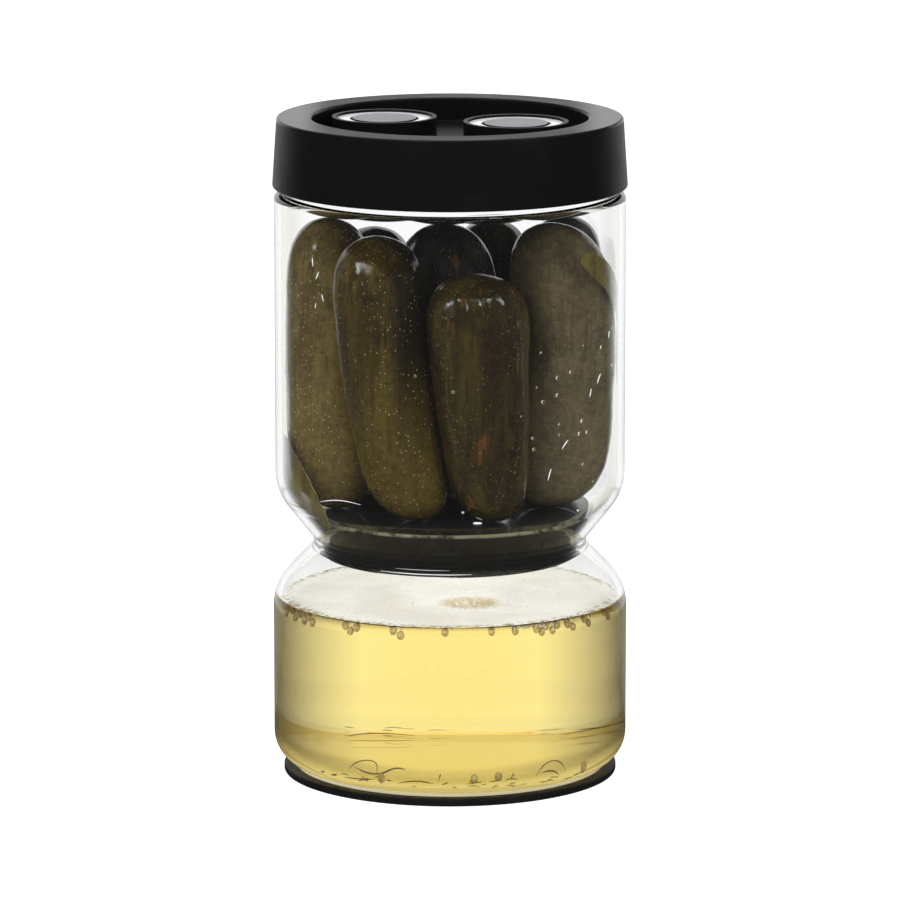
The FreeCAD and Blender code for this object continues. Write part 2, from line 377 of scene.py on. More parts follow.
def make_clear_glass():
    """Clear glass with painted grey-blue shade where the eye looks along the wall, except at the
    heel.
    """
    mat, tree = new_material("clear_glass")
    uneven = use_group(tree, glass_unevenness, Scale=18.0)
    height = object_place(tree).axes()[2]
    # painted shade: grey-blue where the eye looks along the wall, above the heel
    share = facing(tree).between(0.86, 0.99) * height.between(0.012, 0.022)
    tint = share.colour((0.995, 1.0, 0.998), (0.24, 0.28, 0.32))
    tint = (uneven["Mask"] * 0.03).colour(tint, (0.9, 0.94, 0.93))
    shader, out = principled(
        tree, Base_Color=tint, Roughness=0.0, IOR=GLASS_IOR, Transmission_Weight=1.0,
        Normal=uneven["Height"].bump(0.05, 0.002),
    )
    return let_light_through(mat, shader, out, (0.97, 0.98, 0.975))


def make_brine(name, shaded):
    """Yellow brine; its outer face, when shaded, gets painted shade, darker towards the sides."""
    mat, tree = new_material(name)
    place = object_place(tree)
    tint = (1.0, 1.0, 1.0)
    if shaded:
        # painted shade towards the sides, where light first enters, above the foot
        share = facing(tree).between(0.07, 0.255, 0.0, 0.80, "LINEAR")
        share = share * place.axes()[2].between(0.005, 0.013)
        first = light_path(tree)["Transmission Depth"].under(1.5)
        level = (1.0 - share * first).maths("POWER", 2.0)
        tint = level.colour((0.0, 0.0, 0.0), tint)
    cloud = place.noise(45.0)
    tint = cloud.between(0.4, 0.8, 0.0, 0.03).colour(tint, (0.9, 0.85, 0.7))
    shader, out = principled(
        tree, Base_Color=tint, Roughness=0.0, IOR=BRINE_IOR, Transmission_Weight=1.0)
    depth = add(tree, "VolumeAbsorption", Color=BRINE_YELLOW, Density=BRINE_DENSITY)
    feed(out.inputs["Volume"], depth.outputs[0])
    return let_light_through(mat, shader, out, (0.99, 0.93, 0.72))


def make_sheen():
    """The brine's level surface: a painted reflection of the pale room that glows by its own light,
    with a tan patch in front of the middle, fine specks and crumbs along the wall; what a gloss
    mirrors of it is painted dark."""
    mat, tree = new_material("brine_surface_sheen")
    place = object_place(tree)
    share = facing(tree).between(0.35, 0.78, 0.0, 0.93)
    patch = place.stretched(1.0, 1.25, 0.0).distance((0.0056, -0.0185, 0.0))
    grain = place.noise(700.0, 3.0, 0.6).between(0.38, 0.58, 0.35, 1.0)
    patch = patch.between(0.0100, 0.0055) * grain
    specks = place.noise(900.0, 2.0).between(0.60, 0.68) * 0.3
    broad = place.noise(38.0, 3.0, 0.6).between(0.35, 0.65)
    # painted reflection of the pale room, glowing by emission
    pale = broad.colour((1.0, 0.985, 0.91), (0.87, 0.855, 0.77))
    pale = patch.colour(pale, (0.60, 0.49, 0.27))
    pale = specks.colour(pale, (0.42, 0.36, 0.20))
    far = place.stretched(*LEVEL).length()
    share = share.larger(far.between(0.0462, 0.0470, 0.0, 0.9))
    crumbs = place.noise(620.0, 3.0, 0.6).between(0.45, 0.58)
    pale = (far.between(0.0435, 0.0470) * crumbs).colour(pale, (0.36, 0.32, 0.20))
    rays = light_path(tree)
    # what a gloss mirrors of the surface is painted dark
    mirrored = rays["Glossy Depth"].over(0.5)
    pale = mirrored.colour(pale, (0.10, 0.09, 0.06))
    seen = share.larger(mirrored)
    for kind in ("Is Shadow Ray", "Is Diffuse Ray"):
        seen = seen * (1.0 - rays[kind])
    principled(
        tree, Base_Color=(0.02, 0.02, 0.018), Roughness=0.2, Specular_IOR_Level=0.0,
        Emission_Color=pale, Emission_Strength=1.0, Alpha=seen,
    )
    return mat


def make_plastic(name, colour, rough_low, rough_high, grain, depth, specular):
    """Moulded plastic or rubber, a little lighter where it is worn."""
    mat, tree = new_material(name)
    moulded = use_group(
        tree, fine_grain, Grain_Scale=grain, Rough_Low=rough_low, Rough_High=rough_high)
    lighter = tuple(min(1.0, c * 1.9 + 0.002) for c in colour)
    principled(
        tree, Base_Color=(moulded["Wear"] * 0.5).colour(colour, lighter),
        Roughness=moulded["Roughness"], Specular_IOR_Level=specular,
        Normal=moulded["Height"].bump(0.25, depth),
    )
    return mat


def make_dial(name, centre, groove_r):
    """A gloss ring around a satin centre disc, with a dark groove between."""
    mat, tree = new_material(name)
    place = object_place(tree)
    reach = place.stretched(*LEVEL).distance((centre.x, centre.y, 0.0))
    ring = reach.between(groove_r - 0.0003, groove_r + 0.0003)
    groove = abs(reach - groove_r).between(0.00050, 0.00034)
    moulded = use_group(tree, fine_grain, Grain_Scale=3200.0, Rough_Low=0.34, Rough_High=0.42)
    base = ring.colour((0.15, 0.155, 0.17), (0.80, 0.80, 0.80))
    base = groove.colour(base, (0.01, 0.01, 0.01))
    principled(
        tree, Base_Color=base.scaled(place.noise(260.0).between(0.3, 0.7, 0.92, 1.05)),
        Roughness=ring.blend(moulded["Roughness"], 0.06),
        Normal=moulded["Height"].bump(0.15, 0.00002),
    )
    return mat


def make_skin(name, **settings):
    mat, tree = new_material(name)
    skin = use_group(tree, gherkin_skin, **settings)
    principled(
        tree, Base_Color=skin["Colour"], Roughness=skin["Roughness"],
        Specular_IOR_Level=0.3, Coat_Weight=0.45, Coat_Roughness=0.06,
        Subsurface_Weight=0.06, Subsurface_Radius=(0.003, 0.002, 0.0008),
        Normal=skin["Height"].bump(0.75, 0.0003),
    )
    return mat


def make_speckled(name, colour, other, scale, rough, **more):
    """Two tones in small clouds, with a fine height."""
    mat, tree = new_material(name)
    place = object_place(tree)
    principled(
        tree, Base_Color=place.noise(scale, 3.0, 0.6).between(0.35, 0.65).colour(colour, other),
        Roughness=rough, Normal=place.noise(scale * 3.0, 2.0).bump(0.2, 0.0001), **more,
    )
    return mat


# --------------------------------------------------------------------- shapes
AROUND = 200  # points around the glass and the brine


def make_piece(name, points, faces, material, slot, *replaced):
    mesh = bpy.data.meshes.new(name)
    mesh.from_pydata(points, [], faces)
    mesh.update()
    piece = bpy.data.objects.new(name, mesh)
    scene.collection.objects.link(piece)
    mesh.materials.append(material)
    mesh.polygons.foreach_set("use_smooth", [True] * len(mesh.polygons))
    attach(piece, "root")
    if replaced:
        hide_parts(*replaced)
    return piece


def rounded(corners, step=0.10):
    """Points of a profile of (radius, height, rounding) corners, in mm."""
    spots = [Vector((r, z)) for r, z, _ in corners]
    points = []
    for i, (r, z, radius) in enumerate(corners):
        at = spots[i]
        if radius <= 0 or i in (0, len(corners) - 1):
            points.append(at)
            continue
        u = (spots[i - 1] - at).normalized()
        v = (spots[i + 1] - at).normalized()
        half = math.acos(max(-1.0, min(1.0, u.dot(v)))) / 2
        centre = at + (u + v).normalized() * (radius / math.sin(half))
        first = at + u * (radius / math.tan(half)) - centre
        last = at + v * (radius / math.tan(half)) - centre
        sweep = first.angle_signed(last)
        count = max(3, int(abs(sweep) / step))
        start = math.atan2(first.y, first.x)
        for k in range(count + 1):
            angle = start - sweep * k / count
            points.append(centre + radius * Vector((math.cos(angle), math.sin(angle))))
    return points


def finer(points, longest=3.0):
    """The same profile with its long straight runs divided."""
    done = [points[0]]
    for a, b in zip(points, points[1:]):
        parts = max(1, int((b - a).length / longest))
        for k in range(1, parts + 1):
            done.append(a.lerp(b, k / parts))
    return done


def lathe(name, profile, material, slot, *replaced):
    """Closed solid of revolution about Z of a profile that starts and ends on it."""
    points = []
    faces = []
    rings = []
    for p in profile:
        if p.x < 1e-6:
            rings.append([len(points)])
            points.append((0.0, 0.0, p.y * MM))
            continue
        ring = []
        for k in range(AROUND):
            angle = 2 * math.pi * k / AROUND
            ring.append(len(points))
            points.append((p.x * MM * math.cos(angle), p.x * MM * math.sin(angle), p.y * MM))
        rings.append(ring)
    for low, high in zip(rings, rings[1:]):
        for k in range(AROUND):
            n = (k + 1) % AROUND
            if len(low) == 1:
                faces.append((low[0], high[n], high[k]))
            elif len(high) == 1:
                faces.append((low[k], low[n], high[0]))
            else:
                faces.append((low[k], low[n], high[n], high[k]))
    return make_piece(name, points, faces, material, slot, *replaced)


# The jar's own sizes in mm, as the solids have them.
WALL = 2.0
UPPER_R = 49.4
LOWER_R = 50.0
WAIST_R = 38.6
WAIST_Z = 66.5
WAIST_ROUND = 3.0
LOWER_SLOPE = 1.04
UPPER_SLOPE = 1.26
SHOULDER_ROUND = 14.6
BOTTOM_ROUND = 9.6
BASE_T = 3.4
NECK_FOOT_Z = 165.4
NECK_FOOT_T = 1.3
NECK_R = 46.4
NECK_BORE_R = 44.2
MOUTH_Z = 182.9
GLASS_FOOT = 2.15
BRINE_Z = 51.0
PLATE_Z = 76.17

INTO_WALL = 0.5  # how far the brine reaches into the glass
FLOOR_Z = GLASS_FOOT + BASE_T
BORE_R = UPPER_R - WALL
INNER_R = LOWER_R - WALL
WAIST_TURN = (math.atan(1 / UPPER_SLOPE) + math.atan(1 / LOWER_SLOPE)) / 2
CORNER_R = WAIST_R - WAIST_ROUND * (1 / math.cos(WAIST_TURN) - 1)


def upper_cone(r, inward=0.0):
    return WAIST_Z + (r - CORNER_R) * UPPER_SLOPE + inward * math.hypot(1, UPPER_SLOPE)


def lower_cone(r, inward=0.0):
    return WAIST_Z - (r - CORNER_R) * LOWER_SLOPE - inward * math.hypot(1, LOWER_SLOPE)


def jar_profile():
    """The glass from the middle of its foot, up the outside, down the inside.
    The step inside the neck is shown thinner than the solid's."""
    waist = WAIST_R - WALL
    rim = (NECK_R - NECK_BORE_R) * 0.45
    step = NECK_FOOT_Z - NECK_FOOT_T
    return (
        (0, GLASS_FOOT, 0),
        (LOWER_R, GLASS_FOOT, BOTTOM_ROUND),
        (LOWER_R, lower_cone(LOWER_R), SHOULDER_ROUND),
        (CORNER_R, WAIST_Z, WAIST_ROUND),
        (UPPER_R, upper_cone(UPPER_R), SHOULDER_ROUND),
        (UPPER_R, NECK_FOOT_Z, 1.4),
        (NECK_R, NECK_FOOT_Z, 0.8),
        (NECK_R, MOUTH_Z, rim),
        (NECK_BORE_R, MOUTH_Z, rim),
        (NECK_BORE_R, step + 0.8, 1.0),
        (BORE_R, step + 0.5, 0.9),
        (BORE_R, upper_cone(BORE_R, WALL), SHOULDER_ROUND - WALL),
        (waist, upper_cone(waist, WALL), WAIST_ROUND),
        (waist, lower_cone(waist, WALL), WAIST_ROUND),
        (INNER_R, lower_cone(INNER_R, WALL), SHOULDER_ROUND - WALL),
        (INNER_R, FLOOR_Z, BOTTOM_ROUND - WALL),
        (0, FLOOR_Z, 0),
    )


def brine_profile():
    """The brine reaches a little into the wall."""
    side = INNER_R + INTO_WALL
    floor = FLOOR_Z - INTO_WALL
    return (
        (0, floor, 0),
        (side, floor, BOTTOM_ROUND - WALL + INTO_WALL),
        (side, BRINE_Z + 0.05, 0),
        (side - INTO_WALL - 0.5, BRINE_Z, 0.2),
        (0, BRINE_Z, 0),
    )


# ------------------------------------------------------------- glass and brine
lathe("glass_jar_blown", finer(rounded(jar_profile())), make_clear_glass(), "glass", "glass_jar")
brine = lathe(
    "brine_fill", finer(rounded(brine_profile())), make_brine("yellow_brine", True),
    "brine", "brine")
brine.data.materials.append(make_brine("brine_surface", False))
for face in brine.data.polygons:
    if face.center.z > (BRINE_Z - 0.2) * MM or face.center.z < FLOOR_Z * MM:
        face.material_index = 1


def make_surface_film(radius, z, rings=24, around=160):
    """A round film on the brine, which carries its painted reflection and climbs the wall at its
    edge.
    """
    points = [(0.0, 0.0, z)]
    faces = []
    for j in range(1, rings + 1):
        r = radius * j / rings
        climb = max(0.0, (r / MM - 46.0) / 1.75) ** 1.6 * 0.10 * MM
        for k in range(around):
            angle = 2 * math.pi * k / around
            points.append((r * math.cos(angle), r * math.sin(angle), z + climb))
    for k in range(around):
        n = (k + 1) % around
        faces.append((0, 1 + k, 1 + n))
        for j in range(1, rings):
            a = 1 + (j - 1) * around
            b = 1 + j * around
            faces.append((a + k, b + k, b + n, a + n))
    make_piece("brine_sheen", points, faces, make_sheen(), "brine")


make_surface_film(48.2 * MM, (BRINE_Z + 0.06) * MM)


# ------------------------------------------------------------- plastic and pad
PAD_FLOOR = 0.0012
SKIRT_TOP = (0.0665, 0.0655)
RING_PITCH = 0.0031
RIM_TOP = 186.2 * MM


def dress(node, material):
    part = nodes[node]
    part.data.materials.clear()
    part.data.materials.append(material)


def pale_middle(mat, inner, outer, above, colour):
    """A pale round inlay in the top face of a dark part."""
    base = shader_of(mat).inputs["Base Color"]
    place = object_place(mat.node_tree)
    share = place.stretched(*LEVEL).length().between(outer, inner) * place.axes()[2].over(above)
    feed(base, share.colour(base.links[0].from_socket, colour))


def paler_through_brine(mat, colour):
    """A painted glow on a dark part, seen only through the brine's rounded foot, standing for the
    room's light that the foot gathers round it.
    """
    shader = shader_of(mat)
    far = light_path(mat.node_tree)["Transmission Depth"].over(4.5)
    feed(shader.inputs["Emission Color"], far.colour((0.0, 0.0, 0.0), colour))
    feed(shader.inputs["Emission Strength"], 1.0)


def polished_rim(mat, start, end, above, rough):
    """The top of the rim, rubbed smoother on its left and right by hands."""
    roughness = shader_of(mat).inputs["Roughness"]
    x, _, z = object_place(mat.node_tree).axes()
    share = abs(x).between(start, end) * z.over(above)
    feed(roughness, share.blend(roughness.links[0].from_socket, rough))


def wet_top(mat):
    """Brine lies on the plate's top and in thin rings on the skirt below it,
    and the plate's edge is pale in places."""
    shader = shader_of(mat)
    place = object_place(mat.node_tree)
    height = place.axes()[2]
    around = place.stretched(*LEVEL)
    top = height.between((PLATE_Z - 0.7) * MM, (PLATE_Z - 0.3) * MM)
    rings = (height * (2 * math.pi / RING_PITCH)).maths("SINE").between(0.80, 0.97)
    rings = rings * around.noise(60.0, 2.0).between(0.45, 0.6)
    rings = rings * height.between(*SKIRT_TOP, 0.0, 0.9)
    feed(shader.inputs["Coat Weight"], top.larger(rings))
    feed(shader.inputs["Coat Roughness"], 0.14)
    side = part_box("strainer")[1].x
    edge = around.length().between(side - 0.0008, side - 0.0003)
    edge = edge * height.between((PLATE_Z - 1.1) * MM, (PLATE_Z - 0.6) * MM)
    edge = edge * place.noise(220.0, 3.0, 0.6).between(0.35, 0.55)
    base = shader.inputs["Base Color"]
    feed(base, edge.colour(base.links[0].from_socket, (0.22, 0.20, 0.13)))


# colour, roughness from and to, grain per metre, its depth, specular level
lid_black = make_plastic(
    "lid_satin_black", (0.0062, 0.0058, 0.0058), 0.36, 0.44, 2600.0, 0.00003, 0.11)
strainer_black = make_plastic(
    "strainer_wet_black", (0.0085, 0.0083, 0.0075), 0.16, 0.30, 900.0, 0.00004, 0.03)
pad_black = make_plastic(
    "pad_silicone", (0.010, 0.0098, 0.009), 0.45, 0.60, 1800.0, 0.00004, 0.12)
seal_black = make_plastic(
    "seal_rubber", (0.012, 0.012, 0.012), 0.5, 0.7, 1500.0, 0.00004, 0.3)
wet_top(strainer_black)
pale_middle(pad_black, 43.4 * MM, 44.2 * MM, PAD_FLOOR, (0.86, 0.85, 0.80))
# painted glow on the pad, seen through the brine's foot
paler_through_brine(pad_black, (0.62, 0.62, 0.58))
polished_rim(lid_black, 32.0 * MM, 44.0 * MM, RIM_TOP, 0.15)
dress("lid_cap", lid_black)
dress("strainer", strainer_black)
dress("base_pad", pad_black)
dress("lid_seal", seal_black)
for side in ("dial_left", "dial_right"):
    low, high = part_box(side)
    groove_r = (high.x - low.x) / 2 * 0.695
    dress(side, make_dial(side + "_face", (low + high) / 2, groove_r))


# -------------------------------------------------------------------- gherkins
SKIN_AROUND = 132
SKIN_LEVELS = 150
SKIN_SUNK = 0.25  # mm by which a skin lies inside its solid on the whole
SKIN_PROUD = 0.05  # mm by which it may stand out
RAY_START = 0.05


def tree_of(node):
    mesh = nodes[node].data
    return BVHTree.FromPolygons(
        [v.co.copy() for v in mesh.vertices], [tuple(p.vertices) for p in mesh.polygons])


def middles(tree, start, heights):
    """The middle of the solid at each height, followed from half way outwards."""
    found = {}
    half = len(heights) // 2
    for run in (range(half, -1, -1), range(half, len(heights))):
        x, y = start.x, start.y
        for i in run:
            for _ in range(3):
                for axis in (Vector((1, 0, 0)), Vector((0, 1, 0))):
                    here = Vector((x, y, heights[i]))
                    there = tree.ray_cast(here + axis * RAY_START, -axis)[0]
                    back = tree.ray_cast(here - axis * RAY_START, axis)[0]
                    if there is not None and back is not None:
                        x, y, _z = (there + back) / 2
            found[i] = Vector((x, y, heights[i]))
    return found


def gherkin(node, seed, material, kind):
    """A gherkin with ridges, lumps and warts, inside its plain solid."""
    chance = random.Random(seed)
    tree = tree_of(node)
    low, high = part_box(node)
    tall = high.z - low.z
    warts = []
    for _ in range(kind.warts):
        warts.append((
            chance.uniform(0, 2 * math.pi), chance.uniform(0.08, 0.95),
            chance.uniform(0.0006, 0.0013), chance.uniform(0.12, 0.32) * MM))
    phase = chance.uniform(0, 6)
    shares = [
        0.5 - 0.5 * math.cos(math.pi * (0.012 + 0.976 * i / SKIN_LEVELS))
        for i in range(SKIN_LEVELS + 1)]
    centres = middles(tree, (low + high) / 2, [low.z + tall * share for share in shares])
    points = []
    rings = []
    for i, share in enumerate(shares):
        centre = centres[i]
        ring = []
        end = min(1.0, min(share, 1 - share) * 9)
        crown = 1 + 1.6 * max(0.0, share - 0.7) / 0.3
        for k in range(SKIN_AROUND):
            angle = 2 * math.pi * k / SKIN_AROUND
            out = Vector((math.cos(angle), math.sin(angle), 0))
            spot = tree.ray_cast(centre + out * RAY_START, -out)[0]
            if spot is None:
                spot = centre + out * 0.001
            radius = (spot - centre).length
            change = -SKIN_SUNK * MM
            lobe = math.cos(kind.lobes * angle + phase + 2 * share)
            change += kind.ridge * MM * lobe * end * crown
            change += kind.lumps * MM * noise.noise(spot * 95 + Vector((seed, 0, 0)))
            change += 0.10 * MM * noise.noise(spot * 420 + Vector((0, seed, 0)))
            for turn, at, size, height in warts:
                dz = (share - at) * tall
                if abs(dz) > 3 * size:
                    continue
                da = (angle - turn + math.pi) % (2 * math.pi) - math.pi
                away = math.hypot(da * radius, dz)
                if away < 3 * size:
                    change += height * math.exp(-((away / size) ** 2)) * end
            radius = max(0.0004, radius + min(change, SKIN_PROUD * MM))
            ring.append(len(points))
            points.append(centre + out * radius)
        rings.append(ring)
    faces = []
    for a, b in zip(rings, rings[1:]):
        for k in range(SKIN_AROUND):
            n = (k + 1) % SKIN_AROUND
            faces.append((a[k], a[n], b[n], b[k]))
    for ring, sign in ((rings[0], -1), (rings[-1], 1)):
        mean = Vector((0, 0, 0))
        for k in ring:
            mean += points[k]
        mean /= len(ring)
        tip = len(points)
        points.append(mean + Vector((0, 0, sign * 0.0001)))
        for k in range(SKIN_AROUND):
            n = (k + 1) % SKIN_AROUND
            faces.append((ring[k], ring[n], tip) if sign > 0 else (ring[n], ring[k], tip))
    make_piece(node + "_skin", points, faces, material, "gherkin_skin", node)


# Colours of a skin and its shares of rust and specks, the specks partly painted glints; lobes,
# depth of ridges and lumps in mm, number of warts; where the flank with painted shade lies, as a
# share of the half width, and its strength; how much painted light pales the foot.
Kind = namedtuple("Kind", "base streak dark rust specks lobes ridge lumps warts flank shade foot")
KINDS = (
    Kind((0.104, 0.072, 0.020), (0.172, 0.121, 0.037), (0.030, 0.022, 0.012),
         0.05, 1.0, 9, 0.12, 0.45, 26, 0.75, 0.9, 0.9),
    Kind((0.038, 0.025, 0.005), (0.092, 0.062, 0.011), (0.011, 0.008, 0.003),
         0.10, 0.62, 8, 0.14, 0.45, 30, 0.35, 1.0, 0.7),
    Kind((0.029, 0.020, 0.005), (0.052, 0.037, 0.007), (0.013, 0.008, 0.003),
         0.75, 0.35, 7, 0.30, 0.40, 12, 0.45, 0.6, 0.0),
    Kind((0.096, 0.074, 0.036), (0.130, 0.103, 0.054), (0.040, 0.031, 0.016),
         0.03, 0.3, 8, 0.06, 0.40, 10, -0.75, 0.9, 0.8),
    Kind((0.042, 0.042, 0.042), (0.060, 0.060, 0.058), (0.012, 0.012, 0.012),
         0.05, 0.5, 8, 0.10, 0.50, 16, 0.0, 0.4, 0.0),
    Kind((0.030, 0.025, 0.015), (0.050, 0.041, 0.022), (0.010, 0.009, 0.007),
         0.10, 0.4, 9, 0.14, 0.50, 20, 0.0, 0.5, 0.2),
    Kind((0.036, 0.031, 0.022), (0.060, 0.052, 0.035), (0.014, 0.012, 0.010),
         0.10, 0.8, 8, 0.12, 0.50, 24, 0.0, 0.4, 0.2),
    Kind((0.017, 0.015, 0.012), (0.030, 0.027, 0.020), (0.006, 0.006, 0.006),
         0.35, 0.3, 9, 0.24, 0.50, 16, 0.0, 0.5, 0.0),
)
for number, kind in enumerate(KINDS, start=1):
    node = "gherkin_%d" % number
    low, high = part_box(node)
    skin = make_skin(
        node + "_colour", Base=kind.base, Streak=kind.streak, Dark=kind.dark,
        Rust_Share=kind.rust, Speck_Share=kind.specks,
        Shift=(0.13 * number, 0.07 * number, 0.0),
        Flank_X=(low.x + high.x) / 2 + kind.flank * (high.x - low.x) / 2,
        Flank_Share=kind.shade, Foot_Share=kind.foot,
    )
    gherkin(node, number, skin, kind)


# ---------------------------------------------------------------- small pieces
UP = Vector((0, 0, 1))


def grain_shape(level):
    ball = bmesh.new()
    bmesh.ops.create_icosphere(ball, subdivisions=level, radius=1.0)
    shape = [v.co.copy() for v in ball.verts], [tuple(v.index for v in f.verts) for f in ball.faces]
    ball.free()
    return shape


class Small:
    """A small piece, gathered from grains and threads; sizes come in mm."""

    def __init__(self):
        self.points = []
        self.faces = []

    def grain(self, shape, centre, size, rough, seed, squash=None):
        """One uneven grain; squash gives a direction it is flattened along."""
        start = len(self.points)
        for spot in shape[0]:
            bumpy = 1 + rough * noise.noise(spot * 1.7 + Vector((seed, 0, 0)))
            reach = spot * (size * MM) * bumpy
            if squash is not None:
                reach = reach - squash * reach.dot(squash) * 0.62
            self.points.append(centre + reach)
        self.faces.extend(tuple(start + k for k in f) for f in shape[1])

    def thread(self, path, thickness, sides=6):
        """A thin round thread along a path, tapering to its ends."""
        first = len(self.points)
        last = len(path) - 1
        for i, spot in enumerate(path):
            ahead = (path[min(i + 1, last)] - path[max(i - 1, 0)]).normalized()
            across = ahead.cross(Vector((0.31, 0.17, 0.93))).normalized()
            upward = ahead.cross(across)
            taper = 0.35 + 0.65 * min(1.0, 4.0 * min(i, last - i) / len(path))
            for k in range(sides):
                angle = 2 * math.pi * k / sides
                out = across * math.cos(angle) + upward * math.sin(angle)
                self.points.append(spot + out * (thickness * MM) * taper)
        for i in range(last):
            a = first + i * sides
            for k in range(sides):
                n = (k + 1) % sides
                self.faces.append((a + k, a + n, a + sides + n, a + sides + k))
        self.faces.append(tuple(first + k for k in reversed(range(sides))))
        self.faces.append(tuple(first + last * sides + k for k in range(sides)))

    def make(self, name, material):
        make_piece(name, self.points, self.faces, material, "brine")


def on_wall(turn, r, z):
    """A place in mm by its turn from the front, in degrees to the right."""
    angle = math.radians(turn)
    return Vector((r * math.sin(angle), -r * math.cos(angle), z)) * MM


FINE_GRAIN = grain_shape(3)
COARSE_GRAIN = grain_shape(2)
chance = random.Random(31)

# mustard seeds: some float at the wall, some lie on the floor
FLOATING = (  # turn of each cluster and how many seeds it has
    (-71, 2), (-63, 3), (-56, 4), (-35, 3), (-18, 2), (-1.5, 1), (14, 1), (22, 1), (31, 2),
    (36, 3), (44, 2), (52, 2), (64, 2), (76, 2), (104, 3), (140, 2), (170, 3), (205, 2), (236, 3),
)
FLOOR_SEEDS = ((-25, 43.5, 7.6), (8.5, 44.4, 8.2), (17, 44.6, 8.4), (55, 43.0, 7.6))
seeds = Small()
for turn, count in FLOATING:
    for k in range(count):
        size = chance.uniform(0.92, 1.08)
        aside = (k - (count - 1) / 2) * 2.5
        here = on_wall(
            turn + aside + chance.uniform(-0.3, 0.3), INNER_R - size - 0.15,
            BRINE_Z - 0.5 - size - (k % 2) * 1.1 - chance.uniform(0, 0.3))
        seeds.grain(FINE_GRAIN, here, size, 0.10, turn + k)
for turn, r, z in FLOOR_SEEDS:
    seeds.grain(FINE_GRAIN, on_wall(turn, r, z), 1.05, 0.14, turn)
seeds.make("mustard_seeds", make_speckled(
    "mustard_seed_husk", (0.46, 0.34, 0.11), (0.80, 0.63, 0.29), 900.0, 0.35))

# froth: small pale bubbles along the same edge
MORE_FROTH = ((24, 14), (28, 12), (33, 8), (-60, 5), (-35, 3))
froth = Small()
for turn, count in FLOATING + MORE_FROTH:
    for k in range(2 * count + 1):
        size = chance.uniform(0.16, 0.42)
        here = on_wall(
            turn + chance.uniform(-2.6, 2.6), INNER_R - size - chance.uniform(0.05, 0.5),
            BRINE_Z - chance.uniform(-0.1, 1.2))
        froth.grain(COARSE_GRAIN, here, size, 0.05, k)
froth.make("froth", make_speckled(
    "froth_bubble", (0.95, 0.93, 0.82), (0.80, 0.78, 0.66), 700.0, 0.15, Specular_IOR_Level=0.6))

# crumbs on the level surface: most near the tan patch, the rest anywhere
CRUMBS = 80
CRUMBS_NEAR_PATCH = 44
crumbs = Small()
for k in range(CRUMBS):
    if k < CRUMBS_NEAR_PATCH:
        x, y = 6.0 + chance.gauss(0, 4.6), -18.5 + chance.gauss(0, 3.4)
    else:
        r, turn = 44 * math.sqrt(chance.random()), chance.uniform(0, 2 * math.pi)
        x, y = r * math.cos(turn), r * math.sin(turn)
    here = Vector((x, y, BRINE_Z + 0.08)) * MM
    crumbs.grain(COARSE_GRAIN, here, chance.uniform(0.07, 0.20), 0.5, k, UP)
crumbs.make("surface_crumbs", make_speckled(
    "crumb_tan", (0.60, 0.50, 0.29), (0.26, 0.20, 0.10), 1500.0, 0.5))

# the waterline: a thin dark thread all round, in six stretches, a dark piece that puts painted
# shade along the brine's edge
waterline = Small()
for part in range(6):
    waterline.thread(
        [on_wall(part * 60 + k * 1.5, INNER_R - 0.28, BRINE_Z - 0.12) for k in range(42)], 0.22)
waterline.make("waterline", make_speckled(
    "waterline_painted_shade", (0.035, 0.032, 0.020), (0.10, 0.09, 0.055), 240.0, 0.2))


# dill: thin threads on the floor, and short bits of them as litter
def dill_path(start, heading, curl, length, rise, steps=26):
    path = []
    spot = start.copy()
    for k in range(steps + 1):
        path.append(spot.copy())
        angle = math.radians(heading + curl * k / steps)
        lift = rise * math.cos(math.pi * k / steps)
        spot = spot + Vector((math.cos(angle), math.sin(angle), lift)) * (length / steps) * MM
    return path


DILL = (  # turn, radius, height, heading, curl, length, rise, thickness
    (-38, 44.0, 8.6, 30, -150, 13, 0.55, 0.18),
    (-36, 43.5, 9.4, -40, 70, 12, -0.3, 0.17),
    (-28, 43.0, 7.4, 10, 60, 12, 0.35, 0.17),
    (-42, 41.5, 6.6, -50, 60, 9, 0.0, 0.13),
    (-20, 40.0, 6.3, 20, -60, 10, 0.1, 0.13),
    (-4, 43.6, 7.6, 70, 30, 4, 0.8, 0.15),
    (22, 43.4, 7.6, 60, 40, 3, 0.7, 0.15),
    (32, 43.0, 7.4, 60, -140, 12, 0.75, 0.14),
    (44, 41.0, 6.8, 120, 80, 6, 0.2, 0.12),
    (150, 36.0, 6.2, 20, 90, 12, 0.1, 0.14),
    (210, 34.0, 6.2, 60, -80, 13, 0.1, 0.14),
)
LITTER = 46
LITTER_IN_FRONT = 30
dill = Small()
for turn, r, z, heading, curl, length, rise, thickness in DILL:
    dill.thread(dill_path(on_wall(turn, r, z), heading, curl, length, rise), thickness)
for k in range(LITTER):
    turn = chance.uniform(-58, 58) if k < LITTER_IN_FRONT else chance.uniform(70, 290)
    path = dill_path(
        on_wall(turn, chance.uniform(39.5, 43.6), chance.uniform(5.9, 7.1)),
        turn + chance.uniform(-35, 35), chance.uniform(-90, 90),
        chance.uniform(0.8, 3.8), chance.uniform(-0.1, 0.3))
    dill.thread(path, chance.uniform(0.07, 0.13))
dill.make("dill_threads", make_speckled(
    "dill_wet", (0.10, 0.080, 0.022), (0.17, 0.13, 0.04), 800.0, 0.3))


# drops on the inside of the clear wall, most of them at the front right
def make_drop_brine():
    mat, tree = new_material("brine_drop")
    cloud = object_place(tree).noise(300.0).between(0.4, 0.7)
    principled(
        tree, Base_Color=cloud.colour((0.98, 0.97, 0.92), (0.92, 0.90, 0.80)),
        Roughness=0.0, IOR=BRINE_IOR, Transmission_Weight=1.0,
    )
    return mat


